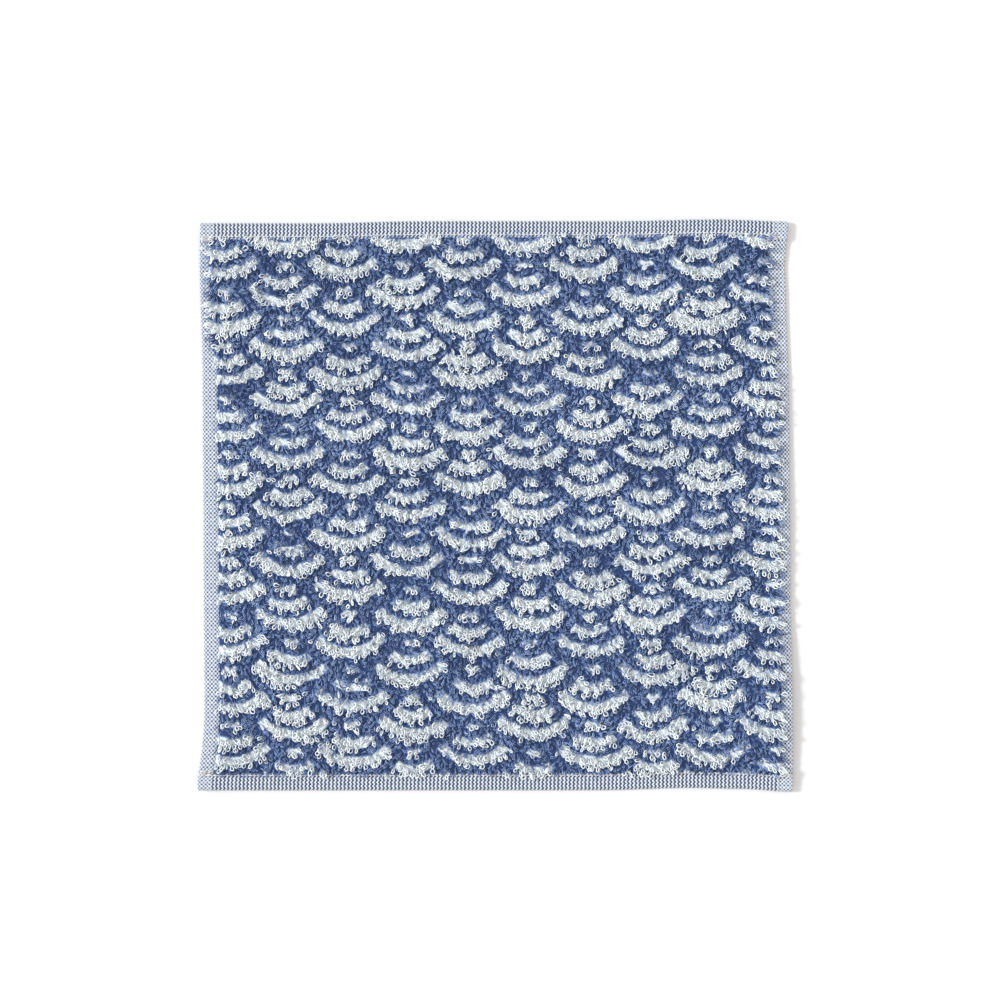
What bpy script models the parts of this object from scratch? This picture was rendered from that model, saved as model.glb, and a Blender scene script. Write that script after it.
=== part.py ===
"""A small square towel laid flat, in one piece of cloth: a field of loop pile, a flat-woven
selvedge down each side, and a flat-woven hem folded over at each end.

Metres, +Z up. The towel lies on z = 0 with its middle at the origin, +X across it from
selvedge to selvedge and +Y along it from hem to hem."""

import math
from collections import namedtuple

import bmesh
import bpy

# Finished size of the cloth
HALF_ACROSS = 0.1245
HALF_ALONG = 0.1202
SELVEDGE_WIDTH = 0.0058
HEM_HEIGHT = 0.0063

# Heights above the table. The loops of the back hold the middle of the cloth up, so that
# the selvedge, which has no loops, floats a little. The hem is three layers of plain cloth.
PILE_TOP = 0.0034
SELVEDGE_UNDERSIDE = 0.0005
SELVEDGE_TOP = 0.0016
HEM_UNDERSIDE = 0.0002
HEM_TOP = 0.0024
RIM_ROUND = 0.0004
RIM_SEGMENTS = 2
RIM_ANGLE = math.radians(60)
CREASE_ANGLE = math.radians(50)

# The outermost loops lean over the border, so the pile rises to its height in this width
PILE_ROLL = 0.0018

# Spacing of the mesh: close at the border, then even across the pile
BORDER_SHARES = (0.0, 0.55, 1.0)
PILE_STEP = 0.0105
SAME_LINE = 0.00001

# How far each side bows out from a straight line, at shares of the way along it: left to
# right for the hems, near end to far end for the selvedges
Bow = namedtuple("Bow", "along out")
FAR_HEM = (
    Bow(-1.0, -0.0007), Bow(-0.6, -0.0007), Bow(-0.25, 0.0002), Bow(0.42, 0.0002),
    Bow(0.76, 0.0010), Bow(1.0, 0.0),
)
NEAR_HEM = (
    Bow(-1.0, 0.0004), Bow(0.36, 0.0003), Bow(0.64, -0.0007), Bow(0.84, -0.0002),
    Bow(1.0, 0.0010),
)
LEFT_SELVEDGE = (
    Bow(-1.0, 0.0016), Bow(-0.95, 0.0011), Bow(-0.9, -0.0002), Bow(-0.74, -0.0014),
    Bow(-0.12, -0.0010), Bow(0.45, -0.0006), Bow(0.91, 0.0007), Bow(1.0, 0.0003),
)
RIGHT_SELVEDGE = (
    Bow(-1.0, 0.0010), Bow(-0.9, 0.0013), Bow(-0.68, 0.0011), Bow(-0.33, 0.0003),
    Bow(0.37, -0.0003), Bow(0.72, -0.0016), Bow(0.86, -0.0023), Bow(1.0, -0.0008),
)

# The left side reaches out further than the right, so this brings the middle to the origin
SHIFT_ACROSS = 0.00015

# Places where the cloth doesn't quite reach the table
Lift = namedtuple("Lift", "x y reach_x reach_y height")
LIFTS = (
    Lift(0.126, -0.086, 0.026, 0.050, 0.0019),
    Lift(0.124, -0.004, 0.016, 0.060, 0.0006),
    Lift(0.124, 0.121, 0.018, 0.024, 0.0005),
    Lift(-0.126, -0.121, 0.014, 0.022, 0.0006),
    Lift(-0.125, 0.104, 0.012, 0.034, 0.0004),
)

# Slow swells left in the pile's surface by washing
Swell = namedtuple("Swell", "length heading height")
SWELLS = (
    Swell(0.118, math.radians(24), 0.00014),
    Swell(0.083, math.radians(101), 0.00012),
    Swell(0.057, math.radians(-38), 0.00009),
)

INDIGO_AND_WHITE_PILE = (0.242, 0.296, 0.402, 1.0)
PALE_FLAT_WEAVE = (0.445, 0.520, 0.610, 1.0)
COTTON_ROUGHNESS = 0.95


def clear_scene():
    for old in list(bpy.data.objects):
        bpy.data.objects.remove(old, do_unlink=True)


def smooth(share):
    """0 to 1 with a soft start and a soft end."""
    share = min(max(share, 0.0), 1.0)
    return share * share * (3.0 - 2.0 * share)


def bow_at(side, along):
    """How far a side lies out from its straight line, eased between the rows of its table."""
    for before, after in zip(side, side[1:]):
        if along <= after.along:
            share = smooth((along - before.along) / (after.along - before.along))
            return before.out + share * (after.out - before.out)
    return side[-1].out


def place(across, along):
    """Where the shares -1 to 1 across and along the cloth lie on the table."""
    sides_bow = bow_at(RIGHT_SELVEDGE, along) if across > 0 else -bow_at(LEFT_SELVEDGE, along)
    ends_bow = bow_at(FAR_HEM, across) if along > 0 else -bow_at(NEAR_HEM, across)
    x = across * HALF_ACROSS + abs(across) * sides_bow + SHIFT_ACROSS
    y = along * HALF_ALONG + abs(along) * ends_bow
    return x, y


def lift_at(x, y):
    """How far the cloth stands off the table, 0 wherever it rests on it."""
    lift = 0.0
    for row in LIFTS:
        away = ((x - row.x) / row.reach_x) ** 2 + ((y - row.y) / row.reach_y) ** 2
        lift = max(lift, row.height * max(0.0, 1.0 - away) ** 2)
    return lift


def swell_at(x, y):
    height = 0.0
    for row in SWELLS:
        travel = x * math.cos(row.heading) + y * math.sin(row.heading)
        height += row.height * math.sin(2 * math.pi * travel / row.length)
    return height


def underside_and_top(across, along):
    """The heights of the cloth's two faces at a share of the way across and along it."""
    x, y = place(across, along)
    in_from_side = (1 - abs(across)) * HALF_ACROSS
    in_from_end = (1 - abs(along)) * HALF_ALONG
    pile = min(
        smooth((in_from_side - SELVEDGE_WIDTH) / PILE_ROLL),
        smooth((in_from_end - HEM_HEIGHT) / PILE_ROLL),
    )
    on_hem = in_from_end <= HEM_HEIGHT + SAME_LINE
    border_underside = HEM_UNDERSIDE if on_hem else SELVEDGE_UNDERSIDE
    border_top = HEM_TOP if on_hem else SELVEDGE_TOP
    lift = lift_at(x, y)
    underside = lift + border_underside * (1 - pile)
    top = lift + border_top * (1 - pile) + (PILE_TOP + swell_at(x, y)) * pile
    return underside, top


def stations(half_size, border):
    """Places of the mesh's lines over one direction of the cloth, as shares from -1 to 1."""
    pile_from = border + PILE_ROLL
    insets = [share * border for share in BORDER_SHARES]
    insets += [border + PILE_ROLL / 2, pile_from]
    half_steps = round((half_size - pile_from) / PILE_STEP)
    step = (half_size - pile_from) / half_steps
    insets += [pile_from + step * count for count in range(1, half_steps)]
    outer = [1 - inset / half_size for inset in insets]
    return [-share for share in outer] + [0.0] + outer[::-1]


def make_material(name, colour):
    material = bpy.data.materials.new(name)
    material.use_nodes = True
    shader = material.node_tree.nodes["Principled BSDF"]
    shader.inputs["Base Color"].default_value = colour
    shader.inputs["Roughness"].default_value = COTTON_ROUGHNESS
    shader.inputs["Metallic"].default_value = 0.0
    material.diffuse_color = colour
    return material


def make_towel(collection):
    """One flat grid is shaped to the cloth's underside, then extruded up to its top."""
    across_stations = stations(HALF_ACROSS, SELVEDGE_WIDTH)
    along_stations = stations(HALF_ALONG, HEM_HEIGHT)
    across_steps = len(across_stations) - 1
    along_steps = len(along_stations) - 1

    cloth = bmesh.new()
    bmesh.ops.create_grid(cloth, x_segments=across_steps, y_segments=along_steps, size=1.0)
    for point in cloth.verts:
        column = round((point.co.x + 1) / 2 * across_steps)
        row = round((point.co.y + 1) / 2 * along_steps)
        point.co.x = across_stations[column]
        point.co.y = along_stations[row]
    for face in cloth.faces:
        middle = face.calc_center_median()
        in_selvedge = abs(middle.x) > 1 - SELVEDGE_WIDTH / HALF_ACROSS
        in_hem = abs(middle.y) > 1 - HEM_HEIGHT / HALF_ALONG
        face.material_index = 1 if in_selvedge or in_hem else 0

    upper = bmesh.ops.extrude_face_region(cloth, geom=cloth.faces[:])["geom"]
    upper_points = {item for item in upper if isinstance(item, bmesh.types.BMVert)}
    for point in cloth.verts:
        across, along = point.co.x, point.co.y
        underside, top = underside_and_top(across, along)
        x, y = place(across, along)
        point.co = (x, y, top if point in upper_points else underside)
    bmesh.ops.recalc_face_normals(cloth, faces=cloth.faces[:])

    mesh = bpy.data.meshes.new("towel")
    cloth.to_mesh(mesh)
    cloth.free()
    mesh.materials.append(make_material("loop_pile", INDIGO_AND_WHITE_PILE))
    mesh.materials.append(make_material("flat_weave", PALE_FLAT_WEAVE))
    towel = bpy.data.objects.new("towel", mesh)
    collection.objects.link(towel)

    rim = towel.modifiers.new("folded_rim", "BEVEL")
    rim.width = RIM_ROUND
    rim.segments = RIM_SEGMENTS
    rim.limit_method = "ANGLE"
    rim.angle_limit = RIM_ANGLE
    mesh.shade_smooth()
    mesh.set_sharp_from_angle(angle=CREASE_ANGLE)


clear_scene()
towel_collection = bpy.data.collections.new("tenugui towel")
bpy.context.scene.collection.children.link(towel_collection)
make_towel(towel_collection)
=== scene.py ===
"""The looks of a small square towel of loop pile, laid flat and seen from straight above:
its ground cloth, the white and the indigo loops that draw overlapping waves, the
flat-woven selvedges and hems, the sewing, and the pile of the back. Metres, +Z up."""

import math
from collections import namedtuple

import bpy
import numpy as np
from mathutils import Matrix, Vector
from mathutils.bvhtree import BVHTree


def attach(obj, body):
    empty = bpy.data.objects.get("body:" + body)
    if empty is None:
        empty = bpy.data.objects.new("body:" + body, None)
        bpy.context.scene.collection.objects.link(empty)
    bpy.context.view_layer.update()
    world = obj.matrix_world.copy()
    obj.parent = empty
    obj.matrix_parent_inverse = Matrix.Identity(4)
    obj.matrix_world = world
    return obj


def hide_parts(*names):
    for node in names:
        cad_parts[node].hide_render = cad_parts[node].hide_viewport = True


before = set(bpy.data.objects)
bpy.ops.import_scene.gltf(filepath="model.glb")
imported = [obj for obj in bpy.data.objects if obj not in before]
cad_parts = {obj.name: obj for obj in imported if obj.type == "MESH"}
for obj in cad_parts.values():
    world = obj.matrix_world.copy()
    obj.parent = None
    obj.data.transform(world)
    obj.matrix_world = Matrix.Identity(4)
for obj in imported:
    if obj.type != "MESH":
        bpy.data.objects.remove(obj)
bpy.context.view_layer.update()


# Camera. It hangs over the table and looks straight down, the top of its picture towards
# the far hem. The towel is 591 of the photograph's 1000 pixels wide, which is 250 mm.

PICTURE_PIXELS = 1000
TOWEL_PIXELS = 591
TOWEL_WIDTH = 0.25
TOWEL_MIDDLE_PIXEL = (495.0, 505.5)
METRES_PER_PIXEL = TOWEL_WIDTH / TOWEL_PIXELS
CAMERA_HEIGHT = 1.6
PILE_HEIGHT_SEEN = 0.003
SENSOR_WIDTH = 36.0
NEAREST_SEEN, FARTHEST_SEEN = 0.01, 20.0


def at_pixel(column, row):
    """Where a pixel of the photograph lies on the table."""
    x = (column - TOWEL_MIDDLE_PIXEL[0]) * METRES_PER_PIXEL
    y = -(row - TOWEL_MIDDLE_PIXEL[1]) * METRES_PER_PIXEL
    return x, y


camera_data = bpy.data.cameras.new("overhead_camera")
camera = bpy.data.objects.new("overhead_camera", camera_data)
bpy.context.scene.collection.objects.link(camera)
camera.location = (*at_pixel(PICTURE_PIXELS / 2, PICTURE_PIXELS / 2), CAMERA_HEIGHT)
camera_data.sensor_width = SENSOR_WIDTH
seen_width = PICTURE_PIXELS * METRES_PER_PIXEL
camera_data.lens = SENSOR_WIDTH * (CAMERA_HEIGHT - PILE_HEIGHT_SEEN) / seen_width
camera_data.clip_start = NEAREST_SEEN
camera_data.clip_end = FARTHEST_SEEN
bpy.context.scene.camera = camera


# Studio. A white table top under soft daylight from all round, with one large soft lamp
# low on the left, so that only the towel's right side has a shadow.

DAYLIGHT = (1.0, 0.985, 0.965, 1.0)
DAYLIGHT_STRENGTH = 0.98
LAMP_STRENGTH = 2.75
LAMP_ELEVATION = math.radians(33.5)
LAMP_TURN = math.radians(-8)
LAMP_SOFTNESS = math.radians(14)
LAMP_COLOUR = (0.89, 0.96, 1.0)
LAMP_PLACE = (-1.0, 0.2, 1.2)
TABLE_SIZE = 6.0
TABLE_WHITE = (0.772, 0.763, 0.764, 1.0)
TABLE_ROUGHNESS = 0.9
TABLE_GLOSS = 0.1

scene = bpy.context.scene
scene.view_settings.view_transform = "Standard"
scene.view_settings.look = "None"
studio = bpy.data.worlds.new("studio_daylight")
studio.use_nodes = True
studio.node_tree.nodes["Background"].inputs["Color"].default_value = DAYLIGHT
studio.node_tree.nodes["Background"].inputs["Strength"].default_value = DAYLIGHT_STRENGTH
scene.world = studio

lamp_data = bpy.data.lights.new("left_lamp", "SUN")
lamp_data.energy = LAMP_STRENGTH
lamp_data.angle = LAMP_SOFTNESS
lamp_data.color = LAMP_COLOUR
lamp = bpy.data.objects.new("left_lamp", lamp_data)
scene.collection.objects.link(lamp)
lamp.location = LAMP_PLACE
lamp.rotation_euler = (0.0, -(math.pi / 2 - LAMP_ELEVATION), LAMP_TURN)

bpy.ops.object.select_all(action="DESELECT")
bpy.ops.mesh.primitive_plane_add(size=TABLE_SIZE, location=(0, 0, 0))
table = bpy.context.active_object
table.name = "table_top"
table_paint = bpy.data.materials.new("white_table")
table_paint.use_nodes = True
table_shader = table_paint.node_tree.nodes["Principled BSDF"]
table_shader.inputs["Base Color"].default_value = TABLE_WHITE
table_shader.inputs["Roughness"].default_value = TABLE_ROUGHNESS
table_shader.inputs["Specular IOR Level"].default_value = TABLE_GLOSS
table.data.materials.append(table_paint)


# Ground cloth. A plain-woven cotton cloth that holds the feet of all loops. Little of it is
# seen, white between the white loops and dark indigo between the others, both darker than
# the loops' yarn as painted shade for the deep gaps between them. It takes the outline, the
# lifted edges and the slow swells of the imported solid.

SELVEDGE_WIDTH = 0.0058
HEM_HEIGHT = 0.0063
PILE_TOP = 0.0034
PILE_ROLL = 0.0018
CORNER_ROUND = 0.003
OUTLINE_LINES = 90
RIM_INSIDE = 0.994
GROUND_UNDER = 0.00180
GROUND_THICKNESS = 0.00050
SELVEDGE_GROUND_UNDER = 0.00010
HEM_GROUND_UNDER = 0.00110
GROUND_SIDE_TUCK = 0.0038
GROUND_END_TUCK = 0.0008
GROUND_STEPS = 84
CROWDED_STEPS = 10
CROWDED_WIDTH = 0.006

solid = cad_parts["towel"].data
solid_points = np.empty(len(solid.vertices) * 3)
solid.vertices.foreach_get("co", solid_points)
solid_points = solid_points.reshape(-1, 3)
solid_edges = np.empty(len(solid.edges) * 2, dtype=int)
solid.edges.foreach_get("vertices", solid_edges)
edge_starts, edge_ends = solid_points[solid_edges.reshape(-1, 2)].transpose(1, 0, 2)
half_across = solid_points[:, 0].max()
half_along = solid_points[:, 1].max()


def outline_at(places, axis):
    """The solid's lowest and highest reach on the other axis, at places on this one."""
    reaches = []
    for place in places:
        before, after = edge_starts[:, axis] - place, edge_ends[:, axis] - place
        crossing = before * after < 0
        share = before[crossing] / (before[crossing] - after[crossing])
        starts, ends = edge_starts[crossing, 1 - axis], edge_ends[crossing, 1 - axis]
        sections = starts + share * (ends - starts)
        reaches.append((sections.min(), sections.max()))
    return np.array(reaches).T


rows_end, columns_end = half_along - CORNER_ROUND, half_across - CORNER_ROUND
rows_measured = np.linspace(-rows_end, rows_end, OUTLINE_LINES)
columns_measured = np.linspace(-columns_end, columns_end, OUTLINE_LINES)
left_reach, right_reach = outline_at(rows_measured, 1)
near_reach, far_reach = outline_at(columns_measured, 0)


def lay(across, along):
    """Where shares from -1 to 1 across and along the cloth lie on the table."""
    y = along * half_along
    left = np.interp(y, rows_measured, left_reach)
    right = np.interp(y, rows_measured, right_reach)
    x = left + (across + 1) / 2 * (right - left)
    near = np.interp(x, columns_measured, near_reach)
    far = np.interp(x, columns_measured, far_reach)
    return x, near + (along + 1) / 2 * (far - near)


solid_faces = [tuple(face.vertices) for face in solid.polygons]
solid_tree = BVHTree.FromPolygons([Vector(point) for point in solid_points], solid_faces)
UP, DOWN = Vector((0, 0, 1)), Vector((0, 0, -1))
OUTSIDE_SOLID = 0.02


def cloth_heights(x, y):
    """How far the solid's underside and its top are off the table at each place."""
    under, top = np.zeros(np.shape(x)), np.zeros(np.shape(x))
    for index in np.ndindex(under.shape):
        place = (x[index] * RIM_INSIDE, y[index] * RIM_INSIDE)
        from_below = solid_tree.ray_cast(Vector((*place, -OUTSIDE_SOLID)), UP)[0]
        from_above = solid_tree.ray_cast(Vector((*place, OUTSIDE_SOLID)), DOWN)[0]
        under[index] = from_below.z if from_below else 0.0
        top[index] = from_above.z if from_above else PILE_TOP
    return under, top


def smooth(share):
    share = np.clip(share, 0, 1)
    return share * share * (3 - 2 * share)


# How much of each selvedge the pile leaves bare, from the near hem to the far one
BARE_ALONG = (-0.120, 0.040, 0.058, 0.074, 0.088, 0.120)
BARE_LEFT = (0.0060, 0.0060, 0.0058, 0.0040, 0.0036, 0.0036)
BARE_RIGHT = (0.0041, 0.0044, 0.0050, 0.0058, 0.0067, 0.0067)


def bare_selvedge(across, along):
    """How far in from the nearer side the pile begins."""
    left = np.interp(along * half_along, BARE_ALONG, BARE_LEFT)
    right = np.interp(along * half_along, BARE_ALONG, BARE_RIGHT)
    return np.where(across < 0, left, right)


def ground_top(across, along):
    """The places of the ground cloth's upper face. It goes down to meet the borders, and
    takes the solid's swells where they are free of the solid's own borders."""
    x, y = lay(across, along)
    under = cloth_heights(x, y)[0]
    from_side = (1 - np.abs(across)) * half_across - bare_selvedge(across, along)
    from_side = smooth(from_side / PILE_ROLL)
    from_end = smooth(((1 - np.abs(along)) * half_along - HEM_HEIGHT) / PILE_ROLL)
    side_level = SELVEDGE_GROUND_UNDER + (GROUND_UNDER - SELVEDGE_GROUND_UNDER) * from_side
    end_level = HEM_GROUND_UNDER + (GROUND_UNDER - HEM_GROUND_UNDER) * from_end
    full_across = 1 - (SELVEDGE_WIDTH + PILE_ROLL) / half_across
    full_along = 1 - (HEM_HEIGHT + PILE_ROLL) / half_along
    inner = lay(np.clip(across, -full_across, full_across), np.clip(along, -full_along, full_along))
    inner_under, inner_top = cloth_heights(*inner)
    swell = (inner_top - inner_under - PILE_TOP) * np.minimum(from_side, from_end)
    return x, y, under + np.minimum(side_level, end_level) + swell + GROUND_THICKNESS


def crowd_lines(share, half_size):
    """Draws an even grid's lines closer together near the border, where the cloth bends."""
    even_part = 1 - 2 * CROWDED_STEPS / GROUND_STEPS
    places = (0, 1 - CROWDED_WIDTH / half_size, 1)
    return np.sign(share) * np.interp(np.abs(share), (0, even_part, 1), places)


def unit_grid(name, columns, rows):
    """A flat grid, and its points' shares from -1 to 1 in both directions."""
    bpy.ops.object.select_all(action="DESELECT")
    bpy.ops.mesh.primitive_grid_add(
        x_subdivisions=columns, y_subdivisions=rows, size=2, calc_uvs=False,
    )
    sheet = bpy.context.active_object
    sheet.name = name
    sheet.data.name = name
    points = np.empty(len(sheet.data.vertices) * 3)
    sheet.data.vertices.foreach_get("co", points)
    points = points.reshape(-1, 3)
    return sheet, points[:, 0], points[:, 1]


def move_points(sheet, x, y, z):
    sheet.data.vertices.foreach_set("co", np.stack([x, y, z], axis=1).ravel())
    sheet.data.update()


def thicken(sheet, thickness, offset):
    """Gives an open sheet its thickness, closed round its rim."""
    body = sheet.modifiers.new("cloth_thickness", "SOLIDIFY")
    body.thickness = thickness
    body.offset = offset
    bpy.context.view_layer.objects.active = sheet
    bpy.ops.object.modifier_apply(modifier=body.name)
    sheet.data.shade_smooth()


def on_body(piece):
    """Puts a finished piece on the towel's only body, in place of its plain solid."""
    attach(piece, "root")
    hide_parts("towel")


def linear(red, green, blue, light=1.0):
    """A colour as seen in the photograph, 0 to 255, under that much light, for a shader."""
    shares = np.array([red, green, blue]) / 255
    dim = shares / 12.92
    bright = ((shares + 0.055) / 1.055) ** 2.4
    return (*np.where(shares <= 0.04045, dim, bright) / light, 1.0)


def math_node(tree, operation, first, second=None, third=None):
    """A maths node whose inputs are numbers or the outputs of other nodes."""
    node = tree.nodes.new("ShaderNodeMath")
    node.operation = operation
    for socket, value in zip(node.inputs, (first, second, third)):
        if value is None:
            continue
        if isinstance(value, bpy.types.NodeSocket):
            tree.links.new(value, socket)
        else:
            socket.default_value = value
    return node.outputs[0]


def ramp_node(tree, factor, stops):
    """A colour ramp from (place, colour) stops, driven by the factor."""
    node = tree.nodes.new("ShaderNodeValToRGB")
    while len(node.color_ramp.elements) < len(stops):
        node.color_ramp.elements.new(0.5)
    for element, (place, colour) in zip(node.color_ramp.elements, stops):
        element.position = place
        element.color = colour
    tree.links.new(factor, node.inputs["Fac"])
    return node.outputs["Color"]


def noise_node(tree, place, scale, detail):
    node = tree.nodes.new("ShaderNodeTexNoise")
    node.inputs["Scale"].default_value = scale
    node.inputs["Detail"].default_value = detail
    tree.links.new(place, node.inputs["Vector"])
    return node.outputs["Fac"]


def raise_bump(tree, shader, height, distance):
    node = tree.nodes.new("ShaderNodeBump")
    node.inputs["Distance"].default_value = distance
    tree.links.new(height, node.inputs["Height"])
    tree.links.new(node.outputs["Normal"], shader.inputs["Normal"])


COTTON_ROUGHNESS = 0.92
COTTON_GLOSS = 0.15
FIBRE_ROUGHNESS = 0.6


def cotton_material(name, sheen):
    """A matt cotton with a little sheen from its loose fibres, still without a colour."""
    material = bpy.data.materials.new(name)
    material.use_nodes = True
    shader = material.node_tree.nodes["Principled BSDF"]
    shader.inputs["Roughness"].default_value = COTTON_ROUGHNESS
    shader.inputs["Specular IOR Level"].default_value = COTTON_GLOSS
    shader.inputs["Sheen Weight"].default_value = sheen
    shader.inputs["Sheen Roughness"].default_value = FIBRE_ROUGHNESS
    place = material.node_tree.nodes.new("ShaderNodeTexCoord").outputs["Object"]
    return material, material.node_tree, shader, place


# The weaver's card draws scales of three arcs round one centre, open at the top, in columns
# that step down by half a scale: white inside the arcs and indigo between them.
WAVE_COLUMN_STEP = 60.24 * METRES_PER_PIXEL
WAVE_ROW_STEP = 53.9 * METRES_PER_PIXEL
WAVE_CENTRE = at_pixel(470, 442)
WAVE_WINDOW_LOW = 0.0246
WAVE_END_ROUND = 0.0005
# Inner and outer radius of the rows of loop feet in each arc, and the slope of its cut ends
WAVE_ARCS = ((0.0031, 0.0057, 0.98), (0.0099, 0.0137, 0.92), (0.0174, 0.0216, 1.10))


def wrap(value, low, period):
    return low + np.mod(value - low, period)


def wave_depth(x, y):
    """How deep inside a white arc each place is, in metres, and less than 0 outside them."""
    deepest = np.full(np.shape(x), -1.0)
    for step in (0, 1):
        aside = x - WAVE_CENTRE[0] - step * WAVE_COLUMN_STEP
        aside = wrap(aside, -WAVE_COLUMN_STEP, 2 * WAVE_COLUMN_STEP)
        down = y - WAVE_CENTRE[1] - step * WAVE_ROW_STEP / 2
        down = wrap(down, -WAVE_WINDOW_LOW, WAVE_ROW_STEP)
        radius = np.hypot(aside, down)
        for inner, outer, slope in WAVE_ARCS:
            end = (-down * slope - np.abs(aside)) / math.sqrt(2) - WAVE_END_ROUND
            depth = np.minimum(np.minimum(radius - inner, outer - radius), end)
            deepest = np.maximum(deepest, depth)
    return deepest


NOISE_WAVES = 9
NOISE_WAVE_SPREAD = (0.75, 1.5)


def slow_noise(x, y, length, seed):
    """Smooth unevenness, mostly from -1 to 1, that changes over about this length."""
    own_dice = np.random.default_rng(seed)
    total = np.zeros(np.shape(x))
    for _ in range(NOISE_WAVES):
        heading = own_dice.uniform(0, 2 * math.pi)
        wave = length * own_dice.uniform(*NOISE_WAVE_SPREAD)
        phase = own_dice.uniform(0, 2 * math.pi)
        travel = x * math.cos(heading) + y * math.sin(heading)
        total += np.sin(2 * math.pi * travel / wave + phase)
    return total / math.sqrt(NOISE_WAVES)


def unevenly(value, x, y, layers):
    """A value with layers of slow noise on it, each (how much, over what length, seed)."""
    for amount, length, seed in layers:
        value = value + amount * slow_noise(x, y, length, seed)
    return value


# The cloth is pulled a little askew, so the drawing leans: how far aside and how far down it
# has moved, from the near hem to the far one. It is also higher towards the right selvedge.
PULL_ALONG = (-0.105, -0.083, -0.060, -0.037, 0.014, 0.055, 0.078, 0.100)
PULL_ASIDE = (0.0019, 0.0012, 0.0005, 0.0, 0.0, -0.0008, -0.0018, -0.0026)
PULL_DOWN = (0.0014, 0.0014, 0.0006, 0.0002, 0.0002, 0.0004, 0.0004, 0.0002)
RIGHT_PULL_FROM, RIGHT_PULL_LENGTH, RIGHT_PULL_UP = 0.066, 0.026, 0.0012
WASHED_ACROSS = ((0.0007, 0.034, 21), (0.0002, 0.007, 27))
WASHED_ALONG = ((0.0005, 0.034, 22), (0.0002, 0.007, 28))


def place_on_card(x, y):
    """Where on the card each place of the cloth was drawn, as washing has shifted it about."""
    card_x = x - np.interp(y, PULL_ALONG, PULL_ASIDE)
    card_y = y + np.interp(y, PULL_ALONG, PULL_DOWN)
    card_y = card_y - RIGHT_PULL_UP * smooth((x - RIGHT_PULL_FROM) / RIGHT_PULL_LENGTH)
    return unevenly(card_x, x, y, WASHED_ACROSS), unevenly(card_y, x, y, WASHED_ALONG)


def keep_card_place(sheet, x, y):
    """Gives every point of a sheet its place on the card, for the sheet's colours."""
    card_x, card_y = place_on_card(x, y)
    kept = sheet.data.attributes.new("card_place", "FLOAT_VECTOR", "POINT")
    places = np.stack([card_x, card_y, np.zeros(len(x))], axis=1)
    kept.data.foreach_set("vector", places.astype(np.float32).ravel())


def wave_depth_nodes(tree):
    """The same drawing as wave_depth, as nodes."""
    card_place = tree.nodes.new("ShaderNodeAttribute")
    card_place.attribute_name = "card_place"
    split = tree.nodes.new("ShaderNodeSeparateXYZ")
    tree.links.new(card_place.outputs["Vector"], split.inputs[0])
    deepest = None
    for step in (0, 1):
        middle_x = WAVE_CENTRE[0] + step * WAVE_COLUMN_STEP
        middle_y = WAVE_CENTRE[1] + step * WAVE_ROW_STEP / 2
        aside = math_node(tree, "SUBTRACT", split.outputs["X"], middle_x)
        aside = math_node(tree, "WRAP", aside, WAVE_COLUMN_STEP, -WAVE_COLUMN_STEP)
        down = math_node(tree, "SUBTRACT", split.outputs["Y"], middle_y)
        down = math_node(tree, "WRAP", down, WAVE_ROW_STEP - WAVE_WINDOW_LOW, -WAVE_WINDOW_LOW)
        square = math_node(tree, "MULTIPLY", aside, aside)
        square = math_node(tree, "MULTIPLY_ADD", down, down, square)
        radius = math_node(tree, "SQRT", square)
        to_middle = math_node(tree, "ABSOLUTE", aside)
        for inner, outer, slope in WAVE_ARCS:
            end = math_node(tree, "MULTIPLY_ADD", down, -slope, -WAVE_END_ROUND)
            end = math_node(tree, "SUBTRACT", end, to_middle)
            from_inner = math_node(tree, "SUBTRACT", radius, inner)
            to_outer = math_node(tree, "SUBTRACT", outer, radius)
            depth = math_node(tree, "MINIMUM", from_inner, to_outer)
            depth = math_node(tree, "MINIMUM", depth, end)
            deepest = depth if deepest is None else math_node(tree, "MAXIMUM", deepest, depth)
    return deepest


WAVE_EDGE = 0.0012
GROUND_WHITE_FROM = 0.3
GROUND_CHECKS_SHOW = 0.35
GROUND_THREAD_STEP = 0.00080
# A noise's scale and detail
GROUND_FIBRE = (2600.0, 2.0)
GROUND_RELIEF = 0.0002
GROUND_SHEEN = 0.1
# Partly the cloth's dye and partly painted shade: darker than the yarn of the loops, for the deep
# gaps between them
GROUND_DYE_AND_PAINTED_SHADE = (
    (0.0, linear(42, 62, 104)), (0.35, linear(78, 100, 145)), (0.6, linear(128, 146, 174)),
    (0.95, linear(214, 220, 224)),
)


def plain_weave_nodes(tree, place, step):
    """A plain weave's checks, from 0 to 1, with threads that far apart."""
    split = tree.nodes.new("ShaderNodeSeparateXYZ")
    tree.links.new(place, split.inputs[0])
    across = math_node(tree, "MULTIPLY", split.outputs["X"], math.pi / step)
    along = math_node(tree, "MULTIPLY", split.outputs["Y"], math.pi / step)
    check = math_node(
        tree, "MULTIPLY", math_node(tree, "COSINE", across), math_node(tree, "COSINE", along),
    )
    return math_node(tree, "MULTIPLY_ADD", check, 0.5, 0.5)


ground_cotton, tree, shader, place = cotton_material("ground_cotton", GROUND_SHEEN)
depth = wave_depth_nodes(tree)
white_share = math_node(tree, "MULTIPLY_ADD", depth, 1 / WAVE_EDGE, GROUND_WHITE_FROM)
checks = plain_weave_nodes(tree, place, GROUND_THREAD_STEP)
white_share = math_node(tree, "MULTIPLY_ADD", checks, GROUND_CHECKS_SHOW, white_share)
ground_dye_and_painted_shade = ramp_node(tree, white_share, GROUND_DYE_AND_PAINTED_SHADE)
tree.links.new(ground_dye_and_painted_shade, shader.inputs["Base Color"])
relief = math_node(tree, "ADD", checks, noise_node(tree, place, *GROUND_FIBRE))
raise_bump(tree, shader, relief, GROUND_RELIEF)

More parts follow.
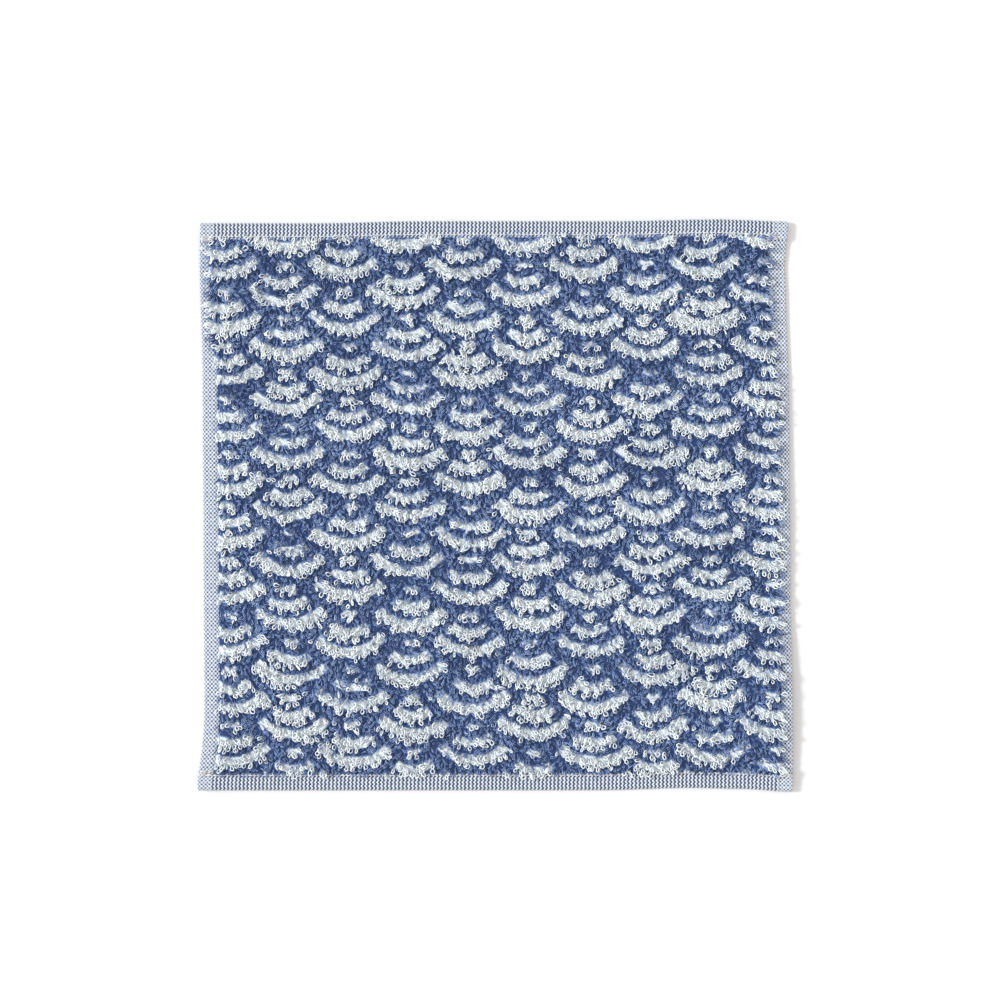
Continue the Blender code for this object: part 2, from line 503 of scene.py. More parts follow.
ground, share_across, share_along = unit_grid("ground_cloth", GROUND_STEPS, GROUND_STEPS)
reach_across = 1 - (SELVEDGE_WIDTH - GROUND_SIDE_TUCK) / half_across
reach_along = 1 - (HEM_HEIGHT - GROUND_END_TUCK) / half_along
x, y, z = ground_top(
    crowd_lines(share_across, half_across) * reach_across,
    crowd_lines(share_along, half_along) * reach_along,
)
move_points(ground, x, y, z)
keep_card_place(ground, x, y)
thicken(ground, GROUND_THICKNESS, -1.0)
ground.data.materials.append(ground_cotton)
on_body(ground)


# Loop pile of the face. Every loop is one turn of soft cotton yarn that stands out of the
# ground cloth, and washing has thrown the loops about. A loop is drawn as a closed ring of
# yarn, its lowest stretch inside the ground cloth.

YARN_SIDES = 3
LOOP_JITTER = 0.34
FOOT_DEPTH = 0.00025
FOOT_INSIDE = 0.0003
EDGE_OVERHANG = 0.006
# How far in from the hems' edges the outermost feet begin
NEAR_INSET, FAR_INSET = 0.0073, 0.0047
YARN_WOBBLE = 0.00006
TWIST_PITCH = 0.0011
FIELD_MARGIN = 0.04
FIELD_SHARE = 1 - 2 * FIELD_MARGIN

dice = np.random.default_rng(11)


def tube_mesh(name, points, faces, material):
    """A smooth-shaded mesh object from arrays of points and four-sided faces."""
    mesh = bpy.data.meshes.new(name)
    mesh.vertices.add(len(points))
    mesh.vertices.foreach_set("co", np.ascontiguousarray(points, dtype=np.float32).ravel())
    mesh.loops.add(faces.size)
    mesh.loops.foreach_set("vertex_index", np.ascontiguousarray(faces, dtype=np.int32).ravel())
    mesh.polygons.add(len(faces))
    mesh.polygons.foreach_set("loop_start", np.arange(0, faces.size, 4, dtype=np.int32))
    mesh.polygons.foreach_set("use_smooth", np.ones(len(faces), dtype=bool))
    mesh.materials.append(material)
    mesh.update(calc_edges=True)
    mesh.validate()
    piece = bpy.data.objects.new(name, mesh)
    scene.collection.objects.link(piece)
    return piece


def write_map(piece, name, across, along):
    """A UV map from the two places of every face corner."""
    corners = np.stack([across.ravel(), along.ravel()], axis=1)
    layer = piece.data.uv_layers.new(name=name)
    layer.uv.foreach_set("vector", corners.astype(np.float32).ravel())


def yarn_loops(name, feet, heading, length, width, lean, twist, yarn, tint, look):
    """One mesh of many loops. Its look's shape gives a loop's bends as shares of its length
    and width, and lean is each loop's elevation at its foot and at its head."""
    shape, foot_shade, material = look
    count = len(heading)
    steps = len(shape)
    reach, aside = np.array(shape).T
    start, end = lean
    along = reach[None, :] * length[:, None]
    bend = ((end - start) / length)[:, None]
    elevation = start[:, None] + bend * along
    out = (np.sin(elevation) - np.sin(start)[:, None]) / bend
    up = -(np.cos(elevation) - np.cos(start)[:, None]) / bend
    flat = np.stack([np.cos(heading), np.sin(heading), np.zeros(count)], axis=1)[:, None, :]
    side = np.stack([-np.sin(heading), np.cos(heading), np.zeros(count)], axis=1)[:, None, :]
    vertical = np.array([0.0, 0.0, 1.0])[None, None, :]
    spine = np.cos(elevation)[..., None] * flat + np.sin(elevation)[..., None] * vertical
    over = -np.sin(elevation)[..., None] * flat + np.cos(elevation)[..., None] * vertical
    turned = twist[:, None] * reach[None, :]
    lateral = np.cos(turned)[..., None] * side + np.sin(turned)[..., None] * over
    path = feet[:, None, :] + out[..., None] * flat + up[..., None] * vertical
    path = path + (aside[None, :] * width[:, None])[..., None] * lateral
    path = path + dice.normal(0, YARN_WOBBLE, path.shape)

    forward = np.roll(path, -1, axis=1) - np.roll(path, 1, axis=1)
    forward /= np.linalg.norm(forward, axis=2, keepdims=True)
    plane = np.cross(lateral, spine)
    plane -= (plane * forward).sum(axis=2, keepdims=True) * forward
    plane /= np.linalg.norm(plane, axis=2, keepdims=True)
    across = np.cross(forward, plane)
    rings = []
    for number in range(YARN_SIDES):
        angle = 2 * math.pi * number / YARN_SIDES + math.pi / 2
        offset = math.cos(angle) * plane + math.sin(angle) * across
        rings.append(path + yarn[:, None, None] * offset)
    points = np.stack(rings, axis=2).reshape(-1, 3)

    loop = np.arange(count)[:, None, None, None]
    step = np.arange(steps)[None, :, None, None]
    around = np.arange(YARN_SIDES)[None, None, :, None]
    step_on = step + np.array([0, 0, 1, 1])
    around_on = around + np.array([0, 1, 1, 0])
    faces = (loop * steps + step_on % steps) * YARN_SIDES + around_on % YARN_SIDES
    piece = tube_mesh(name, points, faces.reshape(-1, 4), material)
    shade = piece.data.attributes.new("tint", "FLOAT", "POINT")
    # Painted shade: each loop's colour darkens from its head down to its foot, as far as its look's
    # foot shade
    tints_and_painted_shade = tint[:, None] - foot_shade * (1 - reach[None, :])
    shade.data.foreach_set("value", np.repeat(tints_and_painted_shade.ravel(), YARN_SIDES).astype(np.float32))

    # The yarn's own map counts its twists, and the bake's map gives each loop a small field
    round_share = np.broadcast_to(around_on / YARN_SIDES, faces.shape)
    twists = 2 * length[:, None, None, None] / TWIST_PITCH * step_on / steps
    write_map(piece, "yarn", np.broadcast_to(twists, faces.shape), round_share)
    fields = math.ceil(math.sqrt(count))
    field_x = (loop % fields + FIELD_MARGIN + FIELD_SHARE * step_on / steps) / fields
    field_y = (loop // fields + FIELD_MARGIN + FIELD_SHARE * round_share) / fields
    write_map(piece, "OFBake", np.broadcast_to(field_x, faces.shape), field_y)
    on_body(piece)


YARN_SHEEN = 0.25
YARN_FIBRE = (1500.0, 3.0)
YARN_MOTTLE = 0.5
YARN_PLIES = 2.0
FIBRE_RELIEF = 0.4
YARN_RELIEF = 0.00012


def yarn_material(name, stops):
    """Spun two-ply cotton yarn: each loop has its own shade, with paler stretches, and painted
    shade darkens it towards its foot.
    """
    material, tree, shader, place = cotton_material(name, YARN_SHEEN)
    shade = tree.nodes.new("ShaderNodeAttribute")
    shade.attribute_name = "tint"
    fibre = noise_node(tree, place, *YARN_FIBRE)
    mottle = math_node(tree, "SUBTRACT", fibre, 0.5)
    factor = math_node(tree, "MULTIPLY_ADD", mottle, YARN_MOTTLE, shade.outputs["Fac"])
    tree.links.new(ramp_node(tree, factor, stops), shader.inputs["Base Color"])
    yarn_map = tree.nodes.new("ShaderNodeUVMap")
    yarn_map.uv_map = "yarn"
    split = tree.nodes.new("ShaderNodeSeparateXYZ")
    tree.links.new(yarn_map.outputs["UV"], split.inputs[0])
    ply = math_node(tree, "MULTIPLY_ADD", split.outputs["Y"], YARN_PLIES, split.outputs["X"])
    ply = math_node(tree, "PINGPONG", ply, 0.5)
    relief = math_node(tree, "MULTIPLY_ADD", fibre, FIBRE_RELIEF, ply)
    raise_bump(tree, shader, relief, YARN_RELIEF)
    return material


# Each arc is thicker or thinner in places, and a few loops stray into the other colour
ARC_UNEVEN = ((0.0003, 0.006, 23), (0.0007, 0.040, 36))
ARC_EDGE_SPREAD = 0.0002
STRAY_SHARE = 0.004
# All loops fall by 1 towards the near hem, and by this much outwards near each border
FALL_TO_NEAR = -1.0
FALL_AT_RIGHT, FALL_AT_LEFT, FALL_AT_NEAR, FALL_AT_FAR = 2.1, 0.2, 1.0, 0.2
FALL_ACROSS_UNEVEN = ((0.3, 0.0065, 24),)
FALL_ALONG_UNEVEN = ((0.3, 0.0065, 25),)
# Near the far hem the left side's loops were brushed out over the selvedge
BRUSHED_FROM, BRUSHED_LENGTH, BRUSHED_FALL = 0.060, 0.012, 2.3
# Small tufts of loops are combed the same way, less so at the borders
TUFTS = ((0.7, 0.0100, 31), (0.5, 0.0050, 32))
BORDER_STRAIGHTENS = 0.7
CLOUD_LENGTH, CLOUD_SEED = 0.035, 33

Pile = namedtuple("Pile", "feet fall tuft_turn cloudy at_side")


def plant(pitch, white):
    """All loops of one colour: their feet, about that far apart, and how they are combed."""
    columns = round(2 * half_across / pitch)
    rows = round((2 * half_along - NEAR_INSET - FAR_INSET) / pitch)
    column, row = np.meshgrid(np.arange(columns) + 0.5, np.arange(rows) + 0.5)
    column = column.ravel() + dice.uniform(-LOOP_JITTER, LOOP_JITTER, column.size)
    row = row.ravel() + dice.uniform(-LOOP_JITTER, LOOP_JITTER, row.size)
    from_near = NEAR_INSET + (2 * half_along - NEAR_INSET - FAR_INSET) * row / rows
    along = from_near / half_along - 1
    across = 2 * column / columns - 1
    from_side = (1 - np.abs(across)) * half_across - bare_selvedge(across, along)
    x, y = lay(across, along)

    depth = unevenly(wave_depth(*place_on_card(x, y)), x, y, ARC_UNEVEN)
    depth += dice.normal(0, ARC_EDGE_SPREAD, len(x))
    is_white = (depth > 0) ^ (dice.uniform(0, 1, len(x)) < STRAY_SHARE)
    chosen = (is_white == white) & (from_side > FOOT_INSIDE)
    across, along = across[chosen], along[chosen]
    from_side, from_near = from_side[chosen], from_near[chosen]
    x, y, z = ground_top(across, along)
    feet = np.stack([x, y, z - FOOT_DEPTH], axis=1)

    # Loops at the border have no neighbours to hold them, and fall outwards over it
    at_side = smooth(1 - from_side / EDGE_OVERHANG)
    left, right = at_side * (across < 0), at_side * (across > 0)
    near = smooth(1 - (from_near - NEAR_INSET) / EDGE_OVERHANG)
    far = smooth(1 - (2 * half_along - FAR_INSET - from_near) / EDGE_OVERHANG)
    brushed = left * smooth((y - BRUSHED_FROM) / BRUSHED_LENGTH)
    fall_x = unevenly(0.0, x, y, FALL_ACROSS_UNEVEN) + FALL_AT_RIGHT * right
    fall_x = fall_x + FALL_AT_LEFT * left - BRUSHED_FALL * brushed
    fall_y = unevenly(FALL_TO_NEAR, x, y, FALL_ALONG_UNEVEN)
    fall_y = fall_y - FALL_AT_NEAR * near + FALL_AT_FAR * far
    at_border = np.maximum(np.maximum(left, right), np.maximum(near, far))
    tuft_turn = unevenly(0.0, x, y, TUFTS) * (1 - BORDER_STRAIGHTENS * at_border)
    cloudy = slow_noise(x, y, CLOUD_LENGTH, CLOUD_SEED)
    return Pile(feet, np.arctan2(fall_y, fall_x), tuft_turn, cloudy, np.maximum(brushed, right))


# How one colour's loops differ: each pair is a middle value and its spread, and after it in
# length and width come the least and the most. Start and end are elevations in degrees.
Recipe = namedtuple("Recipe", (
    "pitch", "tuft_share", "turn_spread", "length", "longer_at_side", "width", "start", "end",
    "lower_at_side", "twist_spread", "yarn", "tint",
))
Look = namedtuple("Look", "shape foot_shade material")
PIECES_A_COLOUR = 3
CLOUD_SHADE = 0.12


def loop_sizes(pile, recipe):
    """The heading, sizes and shade of every loop in a pile."""
    count = len(pile.feet)
    heading = pile.fall + recipe.tuft_share * pile.tuft_turn
    heading = heading + dice.normal(0, recipe.turn_spread, count)
    length = dice.normal(*recipe.length[:2], count).clip(*recipe.length[2:])
    length *= 1 + recipe.longer_at_side * pile.at_side
    width = dice.normal(*recipe.width[:2], count).clip(*recipe.width[2:])
    start = np.radians(dice.normal(*recipe.start, count))
    end = np.radians(dice.normal(*recipe.end, count) - recipe.lower_at_side * pile.at_side)
    twist = dice.normal(0, recipe.twist_spread, count)
    yarn = dice.normal(*recipe.yarn, count)
    tint = (dice.normal(*recipe.tint, count) + CLOUD_SHADE * pile.cloudy).clip(0, 1)
    return heading, length, width, (start, end), twist, yarn, tint


def make_loops(name, white, recipe, look):
    """All loops of one colour, as bands from the near hem to the far one."""
    pile = plant(recipe.pitch, white)
    order = np.argsort(pile.feet[:, 1], kind="stable")
    for number, band in enumerate(np.array_split(order, PIECES_A_COLOUR), 1):
        part = Pile(*(values[band] for values in pile))
        yarn_loops(f"{name}_{number}", part.feet, *loop_sizes(part, recipe), look)


# White loops. Two-ply undyed yarn, longer than the indigo loops: they lie over towards the
# near hem, and their heads show as small rings, best along the lower edge of each arc.

white_yarn = yarn_material("white_cotton_yarn", (
    (0.0, linear(204, 213, 222)), (0.45, linear(240, 246, 249)), (1.0, linear(246, 250, 252)),
))
# The legs lie against each other and open into a ring at the head. The foot shade is painted shade,
# darker towards the feet
WHITE_LOOP = Look(shape=(
    (0.0, 0.0), (0.45, 0.34), (0.74, 0.88), (1.0, 0.44), (1.0, -0.44), (0.74, -0.88),
    (0.45, -0.34),
), foot_shade=0.38, material=white_yarn)
WHITE_RECIPE = Recipe(
    pitch=0.00153, tuft_share=0.9, turn_spread=0.33,
    length=(0.0031, 0.0005, 0.0020, 0.0044), longer_at_side=0.3,
    width=(0.00078, 0.00018, 0.0004, 0.0012),
    start=(60, 9), end=(10, 13), lower_at_side=14, twist_spread=0.65,
    yarn=(0.00028, 0.00002), tint=(0.5, 0.16),
)
make_loops("white_loops", True, WHITE_RECIPE, WHITE_LOOP)


# Indigo loops. Dyed yarn, shorter and tighter than the white, combed this way and that in
# small tufts with dark gaps between them.

indigo_yarn = yarn_material("indigo_cotton_yarn", (
    (0.0, linear(65, 89, 142)), (0.5, linear(131, 158, 209)), (1.0, linear(182, 202, 231)),
))
# The foot shade is painted shade, darker towards the loops' feet
INDIGO_LOOP = Look(
    shape=((0.1, 0.3), (1.0, 0.75), (1.0, -0.75), (0.1, -0.3)),
    foot_shade=0.34, material=indigo_yarn,
)
INDIGO_RECIPE = Recipe(
    pitch=0.00138, tuft_share=1.1, turn_spread=0.6,
    length=(0.0024, 0.0004, 0.0015, 0.0035), longer_at_side=0.5,
    width=(0.00050, 0.00010, 0.0003, 0.0008),
    start=(55, 9), end=(0, 11), lower_at_side=8, twist_spread=0.9,
    yarn=(0.00020, 0.00002), tint=(0.49, 0.18),
)
make_loops("indigo_loops", False, INDIGO_RECIPE, INDIGO_LOOP)


# Selvedges. The cloth's own woven edges, without loops: a fine check of white warp and
# blue-grey weft that stops the cloth fraying at its two sides. Each climbs onto the hem at
# its ends, where it is one cloth with it.

WARP_STEP = 0.000795
WEFT_STEP = 0.00089
WEAVE_RELIEF = 0.00006
BORDER_CLOTH = 0.0006
SELVEDGE_MIDDLE = 0.00055
SELVEDGE_COLUMNS = 9
SELVEDGE_CLIMB = 0.00110
CLIMB_LENGTH = 0.0030
RIM_ROUND = 0.00016
RIM_SEGMENTS = 2
RIM_ANGLE = math.radians(65)
# How much more light falls on the flat borders than on the pile
BORDER_LIGHT = 1.38
BORDER_SHEEN = 0.15
WEAVE_COLOURS = (
    (0.0, linear(247, 253, 258, BORDER_LIGHT)), (0.32, linear(229, 236, 246, BORDER_LIGHT)),
    (0.62, linear(140, 151, 179, BORDER_LIGHT)), (0.92, linear(72, 82, 108, BORDER_LIGHT)),
)
SPOT_DEPTH, SPOT_MIDDLE = 0.53, 0.54
SECOND_ROW_PALER = -0.24
HEM_LEAN = 0.78
HEM_DARKER = 0.17
WEAVE_UNEVEN, WEAVE_PATCHES = 0.5, (700.0, 2.0)
THREAD_FIBRE = (4200.0, 2.0)
THREAD_RELIEF = 0.00008


def finish_border(strip, warp, weft, zigzag):
    """Numbers a border's threads, thickens it, rounds its rim and puts it on the towel."""
    corners = np.empty(len(strip.data.loops), dtype=int)
    strip.data.loops.foreach_get("vertex_index", corners)
    write_map(strip, "threads", warp[corners], weft[corners])
    kind = strip.data.attributes.new("zigzag", "FLOAT", "POINT")
    kind.data.foreach_set("value", zigzag.astype(np.float32))
    strip.data.materials.append(border_weave)
    thicken(strip, BORDER_CLOTH, 0.0)
    rim = strip.modifiers.new("rim_round", "BEVEL")
    rim.width = RIM_ROUND
    rim.segments = RIM_SEGMENTS
    rim.limit_method = "ANGLE"
    rim.angle_limit = RIM_ANGLE
    bpy.ops.object.modifier_apply(modifier=rim.name)
    strip.data.shade_smooth()
    on_body(strip)


# Dark spots stand where a blue-grey thread passes over, every second row of them stronger.
# On the hems the rows lean, so that the spots join in zigzags.
border_weave, tree, shader, place = cotton_material("border_weave", BORDER_SHEEN)
thread_map = tree.nodes.new("ShaderNodeUVMap")
thread_map.uv_map = "threads"
split = tree.nodes.new("ShaderNodeSeparateXYZ")
tree.links.new(thread_map.outputs["UV"], split.inputs[0])
warp_count, weft_count = split.outputs["X"], split.outputs["Y"]
warp_wave = math_node(tree, "COSINE", math_node(tree, "MULTIPLY", warp_count, math.pi))
weft_wave = math_node(tree, "COSINE", math_node(tree, "MULTIPLY", weft_count, math.pi))
check = math_node(tree, "MULTIPLY", warp_wave, weft_wave)
every_second = math_node(tree, "PINGPONG", weft_count, 1.0)
leaned = math_node(tree, "MULTIPLY_ADD", every_second, HEM_LEAN, warp_count)
zigzag_wave = math_node(tree, "COSINE", math_node(tree, "MULTIPLY", leaned, math.pi))
weave_kind = tree.nodes.new("ShaderNodeAttribute")
weave_kind.attribute_name = "zigzag"
on_hem = weave_kind.outputs["Fac"]
difference = math_node(tree, "SUBTRACT", zigzag_wave, check)
drawn = math_node(tree, "MULTIPLY_ADD", difference, on_hem, check)
darkness = math_node(tree, "MULTIPLY_ADD", drawn, SPOT_DEPTH, SPOT_MIDDLE)
darkness = math_node(tree, "MULTIPLY_ADD", every_second, SECOND_ROW_PALER, darkness)
darkness = math_node(tree, "MULTIPLY_ADD", on_hem, HEM_DARKER, darkness)
uneven = math_node(tree, "SUBTRACT", noise_node(tree, place, *WEAVE_PATCHES), 0.5)
darkness = math_node(tree, "MULTIPLY_ADD", uneven, WEAVE_UNEVEN, darkness)
tree.links.new(ramp_node(tree, darkness, WEAVE_COLOURS), shader.inputs["Base Color"])
fibre = noise_node(tree, place, *THREAD_FIBRE)
thread_round = math_node(tree, "MULTIPLY_ADD", drawn, -1.0, fibre)
raise_bump(tree, shader, thread_round, THREAD_RELIEF)


def make_selvedge(name, side):
    """One strip of the weave, whose inner threads lie under the pile."""
    columns = SELVEDGE_COLUMNS
    rows = 2 * round((half_along - HEM_HEIGHT) / WEFT_STEP)
    strip, share_in, share_along = unit_grid(name, columns, rows)
    warp = np.round((share_in + 1) / 2 * columns)
    weft = np.round((share_along + 1) / 2 * rows)
    across = side * (1 - warp * WARP_STEP / half_across)
    x, y = lay(across, share_along * (1 - HEM_HEIGHT / half_along))
    to_hem = (1 - np.abs(share_along)) * (half_along - HEM_HEIGHT)
    climb = SELVEDGE_CLIMB * smooth(1 - to_hem / CLIMB_LENGTH)
    relief = -WEAVE_RELIEF * np.cos(math.pi * warp) * np.cos(math.pi * weft)
    move_points(strip, x, y, cloth_heights(x, y)[0] + SELVEDGE_MIDDLE + climb + relief)
    finish_border(strip, warp, weft, np.zeros(len(warp)))


make_selvedge("selvedge_left", -1)
make_selvedge("selvedge_right", 1)


# Hems. At each end the cloth runs on without loops, in a zigzag weave, and is folded in
# twice to the back, so that three layers lie over each other and show at the hem's ends.

HEM_WARP_STEP = 0.000825
HEM_WEFT_STEP = 0.000845
HEM_REACH = 0.0075
HIDDEN_ROW_STEP = 0.0022
TOP_LAYER, MIDDLE_LAYER, LOW_LAYER = 0.00182, 0.00110, 0.00035
TOP_LAYER_DIVE = 0.00045
MIDDLE_LAYER_REACH = 0.0013
UNDER_LAYER_INSET = 0.0005
OUTER_FOLD_STEPS, INNER_FOLD_STEPS = 4, 3
# Rows of the outer fold that still show their threads on the face
FACE_FOLD_ROWS = 2
# The hem keeps the selvedge's check over this many threads, and turns to zigzag over the next
SELVEDGE_THREADS = 6
TURNING_THREADS = 2


def fold_points(middle_in, middle_height, radius, turn_from, turn_to, steps):
    """Points round a fold in section: (distance in from the hem's outer fold, height)."""
    turns = np.radians(np.linspace(turn_from, turn_to, steps + 1))
    return np.stack([
        middle_in - radius * np.cos(turns), middle_height + radius * np.sin(turns),
    ], axis=1)


outer_radius = (TOP_LAYER - LOW_LAYER) / 2
outer_middle = outer_radius + BORDER_CLOTH / 2
inner_radius = (MIDDLE_LAYER - LOW_LAYER) / 2
inner_middle = HEM_REACH - BORDER_CLOTH / 2 - inner_radius
top_rows = round((HEM_REACH - outer_middle) / HEM_WEFT_STEP)
low_rows = round((inner_middle - outer_middle) / HIDDEN_ROW_STEP)
top_in = np.linspace(HEM_REACH, outer_middle, top_rows + 1)[:-1]
under_pile = smooth((top_in - HEM_HEIGHT) / (HEM_REACH - HEM_HEIGHT))
top_height = TOP_LAYER - TOP_LAYER_DIVE * under_pile
low_in = np.linspace(outer_middle, inner_middle, low_rows + 1)[1:-1]
hem_section = np.concatenate([
    np.stack([top_in, top_height], axis=1),
    fold_points(
        outer_middle, outer_radius + LOW_LAYER, outer_radius, 90, -90, OUTER_FOLD_STEPS,
    ),
    np.stack([low_in, np.full(len(low_in), LOW_LAYER)], axis=1),
    fold_points(
        inner_middle, inner_radius + LOW_LAYER, inner_radius, 270, 90, INNER_FOLD_STEPS,
    ),
    np.array([[(inner_middle + MIDDLE_LAYER_REACH) / 2, MIDDLE_LAYER],
              [MIDDLE_LAYER_REACH, MIDDLE_LAYER]]),
])
section_forward = np.gradient(hem_section, axis=0)
section_forward /= np.linalg.norm(section_forward, axis=1, keepdims=True)

# The threads are numbered row by row on the face, and by their distance on the hidden layers
face_rows = top_rows + FACE_FOLD_ROWS
section_rows = np.arange(len(hem_section))
under_layers = section_rows > face_rows
section_steps = np.linalg.norm(np.diff(hem_section, axis=0), axis=1) / HEM_WEFT_STEP
section_distance = np.concatenate([[0.0], np.cumsum(section_steps)])
hidden_numbers = face_rows + section_distance - section_distance[face_rows]
hem_weft_numbers = np.where(under_layers, hidden_numbers, section_rows)
hem_relief = -WEAVE_RELIEF * np.cos(math.pi * section_rows) * ~under_layers


def make_hem(name, end):
    """One folded strip of the weave, whose inner edge lies under the pile."""
    columns = 2 * round(half_across / HEM_WARP_STEP)
    rows = len(hem_section) - 1
    strip, share_across, share_section = unit_grid(name, columns, rows)
    warp = np.round((share_across + 1) / 2 * columns)
    row = np.round((share_section + 1) / 2 * rows).astype(int)
    relief = hem_relief[row] * np.cos(math.pi * warp)
    inward = hem_section[row, 0] + relief * section_forward[row, 1]
    height = hem_section[row, 1] - relief * section_forward[row, 0]
    across = share_across * (1 - under_layers[row] * UNDER_LAYER_INSET / half_across)
    x, y = lay(across, end * (1 - inward / half_along))
    move_points(strip, x, y, cloth_heights(x, y)[0] + height)
    from_side = columns / 2 - np.abs(warp - columns / 2)
    zigzag = smooth((from_side - SELVEDGE_THREADS) / TURNING_THREADS)
    finish_border(strip, warp, hem_weft_numbers[row], zigzag)


make_hem("hem_far", 1)
make_hem("hem_near", -1)


# Sewing. A pale pinkish lock stitch runs along each hem just inside its edge, where the loops
# hide most of it on the face. At the corners of the hems a few rows of back-tack show.

STITCH_SIDES = 4
STITCH_RADIUS = 0.00025
STITCH_BEND_SHARES = (0.0, 0.15, 0.5, 0.85, 1.0)
STITCH_BEND_HEIGHTS = (0.0, 0.8, 1.0, 0.8, 0.0)
STITCH_DEPTH = 0.0002
BACK_SEAM_IN = 0.0069
FACE_SEAM_IN = {1: 0.0057, -1: 0.0064}
SEAM_STITCH = 0.0027
SEAM_GAP = 0.0003
TACK_SPREAD = 0.0021
TACK_ROWS = 4
TACK_STITCHES = 2
TACK_UNEVEN, TACK_SLANT = 0.0006, 0.00015
BACK_SEAM_HEIGHT, FACE_SEAM_HEIGHT = 0.00012, 0.00195
BACK_STITCH_RISE, FACE_STITCH_RISE, TACK_RISE = -0.00007, 0.00035, 0.0005
THREAD_SHEEN, THREAD_SHADES = 0.1, (1100.0, 2.0)
THREAD_COLOURS = (
    (0.30, linear(226, 219, 220, BORDER_LIGHT)), (0.60, linear(250, 250, 253, BORDER_LIGHT)),
)
# Side, end, and how far the back-tack begins and stops from that side
TACKS = (
    (-1, 1, 0.0004, 0.0057), (1, 1, 0.0038, 0.0093),
    (-1, -1, 0.0004, 0.0059), (1, -1, 0.0004, 0.0047),
)

sewing_thread, tree, shader, place = cotton_material("pinkish_sewing_thread", THREAD_SHEEN)
thread_shade = noise_node(tree, place, *THREAD_SHADES)
thread_colour = ramp_node(tree, thread_shade, THREAD_COLOURS)
tree.links.new(thread_colour, shader.inputs["Base Color"])


def stitch_paths(across, along, height):
    """Stitches from shares (first and last point) at heights above the solid's underside."""
    x, y = lay(across, along)
    return np.stack([x, y, cloth_heights(x, y)[0] + height], axis=2)


def sew(name, ends, rise):
    """One mesh of stitches. Each comes out of the cloth, crosses it and goes back in."""
    count = len(ends)
    start, end = ends[:, :1], ends[:, 1:]
    shares = np.array(STITCH_BEND_SHARES)[None, :, None]
    vertical = np.array([0.0, 0.0, 1.0])
    path = start + (end - start) * shares
    path = path + rise * np.array(STITCH_BEND_HEIGHTS)[None, :, None] * vertical
    forward = (end - start) / np.linalg.norm(end - start, axis=2, keepdims=True)
    side = np.cross(forward, vertical)
    angles = 2 * math.pi * (np.arange(STITCH_SIDES) + 0.5) / STITCH_SIDES
    round_path = [math.cos(angle) * side + math.sin(angle) * vertical for angle in angles]
    points = path[:, :, None, :] + STITCH_RADIUS * np.stack(round_path, axis=2)
    bends = len(STITCH_BEND_SHARES)
    bend, corner = np.meshgrid(np.arange(bends - 1), np.arange(STITCH_SIDES), indexing="ij")
    next_corner = (corner + 1) % STITCH_SIDES
    walls = np.stack([
        bend * STITCH_SIDES + corner, (bend + 1) * STITCH_SIDES + corner,
        (bend + 1) * STITCH_SIDES + next_corner, bend * STITCH_SIDES + next_corner,
    ], axis=2).reshape(-1, 4)
    corners = np.arange(STITCH_SIDES)
    caps = np.stack([corners, (bends - 1) * STITCH_SIDES + corners[::-1]])
    one_stitch = np.concatenate([walls, caps])
    faces = np.arange(count)[:, None, None] * bends * STITCH_SIDES + one_stitch
    piece = tube_mesh(name, points.reshape(-1, 3), faces.reshape(-1, 4), sewing_thread)
    on_body(piece)


def make_seam(name, end, seam_in, height, rise):
    """A row of stitches along one hem, at that height above the solid's underside."""
    seam_length = 2 * (half_across - SELVEDGE_WIDTH / 2)
    count = round(seam_length / (SEAM_STITCH + SEAM_GAP))
    starts = np.linspace(-seam_length / 2, seam_length / 2, count + 1)[:-1]
    across = np.stack([starts, starts + SEAM_STITCH], axis=1) / half_across
    along = np.full(across.shape, end * (1 - seam_in / half_along))
    sew(name, stitch_paths(across, along, height), rise)


for end, hem in ((1, "far"), (-1, "near")):
    make_seam(f"seam_{hem}_back", end, BACK_SEAM_IN, BACK_SEAM_HEIGHT, BACK_STITCH_RISE)
    make_seam(f"seam_{hem}_face", end, FACE_SEAM_IN[end], FACE_SEAM_HEIGHT, FACE_STITCH_RISE)

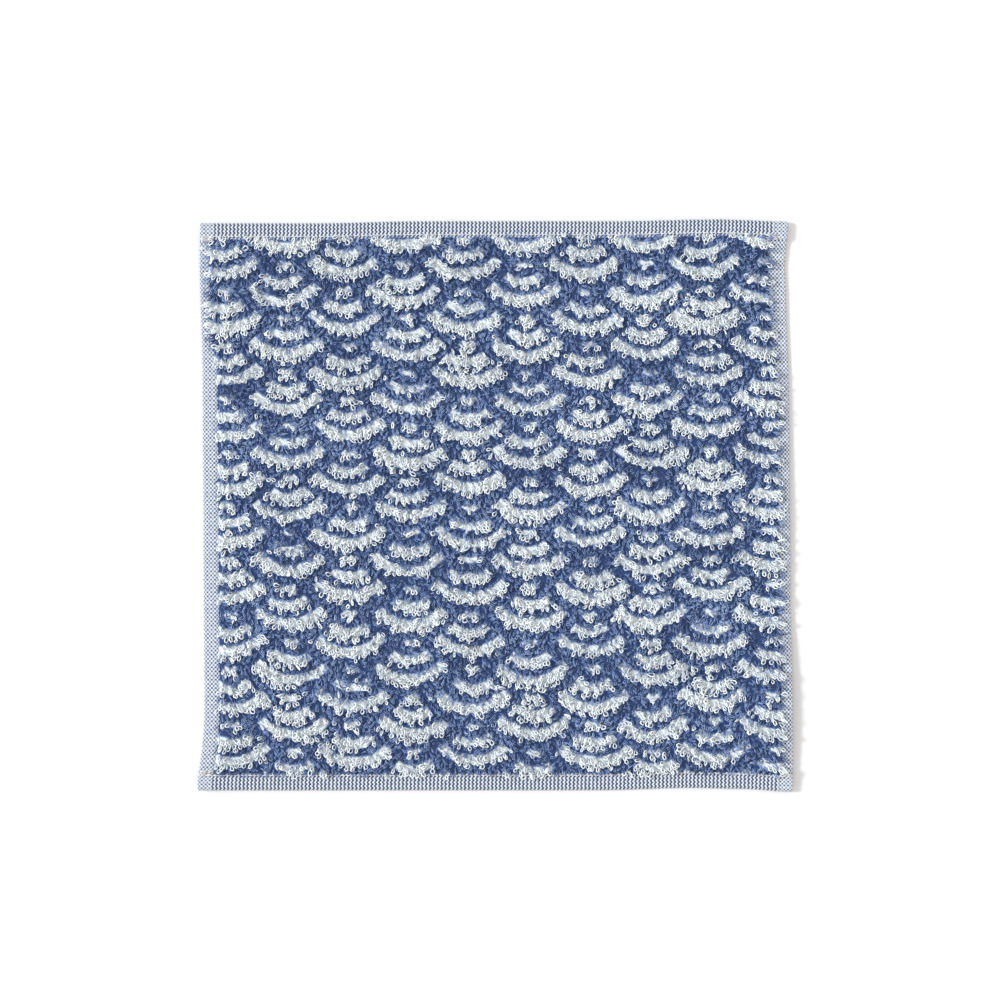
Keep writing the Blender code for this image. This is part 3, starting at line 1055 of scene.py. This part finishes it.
tack_across, tack_along = [], []
for side, end, begins, stops in TACKS:
    for number in range(TACK_ROWS):
        from_end = FACE_SEAM_IN[end] + TACK_SPREAD * number / (TACK_ROWS - 1)
        cuts = np.linspace(begins, stops, TACK_STITCHES + 1)
        cuts[1:-1] += dice.normal(0, TACK_UNEVEN)
        for first, last in zip(cuts[:-1], cuts[1:]):
            slant = dice.normal(0, TACK_SLANT, 2)
            tack_across.append(side * (1 - np.array([first, last]) / half_across))
            tack_along.append(end * (1 - (from_end + slant) / half_along))
tack_paths = stitch_paths(np.array(tack_across), np.array(tack_along), FACE_SEAM_HEIGHT)
sew("corner_back_tacks", tack_paths, TACK_RISE)


# Pile of the back. The same loops stand out on the other side, where the drawing is reversed,
# and carry the towel. Only their tips touch the table, so they are made as one tufted layer.

BACK_STEPS = 84
BACK_SIDE_INSET = 0.0082
BACK_HEM_INSET = 0.0080
BACK_TUFT = 0.00035
BACK_THICKNESS = 0.00140
BACK_RIM_FROM = 0.985
BACK_RIM_RISE = 0.00025
BACK_FIBRE = (900.0, 3.0)
BACK_RELIEF = 0.0008
BACK_COLOURS = (
    (0.25, linear(66, 86, 132)), (0.5, linear(122, 138, 170)), (0.75, linear(222, 228, 232)),
)

back_yarn, tree, shader, place = cotton_material("back_pile_yarn", YARN_SHEEN)
white_share = math_node(tree, "MULTIPLY_ADD", wave_depth_nodes(tree), -1 / WAVE_EDGE, 0.5)
fibre = noise_node(tree, place, *BACK_FIBRE)
white_share = math_node(tree, "ADD", white_share, math_node(tree, "SUBTRACT", fibre, 0.5))
tree.links.new(ramp_node(tree, white_share, BACK_COLOURS), shader.inputs["Base Color"])
raise_bump(tree, shader, fibre, BACK_RELIEF)

back_pile, share_across, share_along = unit_grid("back_pile", BACK_STEPS, BACK_STEPS)
at_rim = np.maximum(np.abs(share_across), np.abs(share_along))
roll = BACK_RIM_RISE * smooth((at_rim - BACK_RIM_FROM) / (1 - BACK_RIM_FROM))
share_across = share_across * (1 - BACK_SIDE_INSET / half_across)
share_along = share_along * (1 - BACK_HEM_INSET / half_along)
x, y = lay(share_across, share_along)
tuft = dice.uniform(0, BACK_TUFT, len(x))
move_points(back_pile, x, y, cloth_heights(x, y)[0] + tuft + roll)
keep_card_place(back_pile, x, y)
back_pile.data.materials.append(back_yarn)
thicken(back_pile, BACK_THICKNESS, 1.0)
on_body(back_pile)
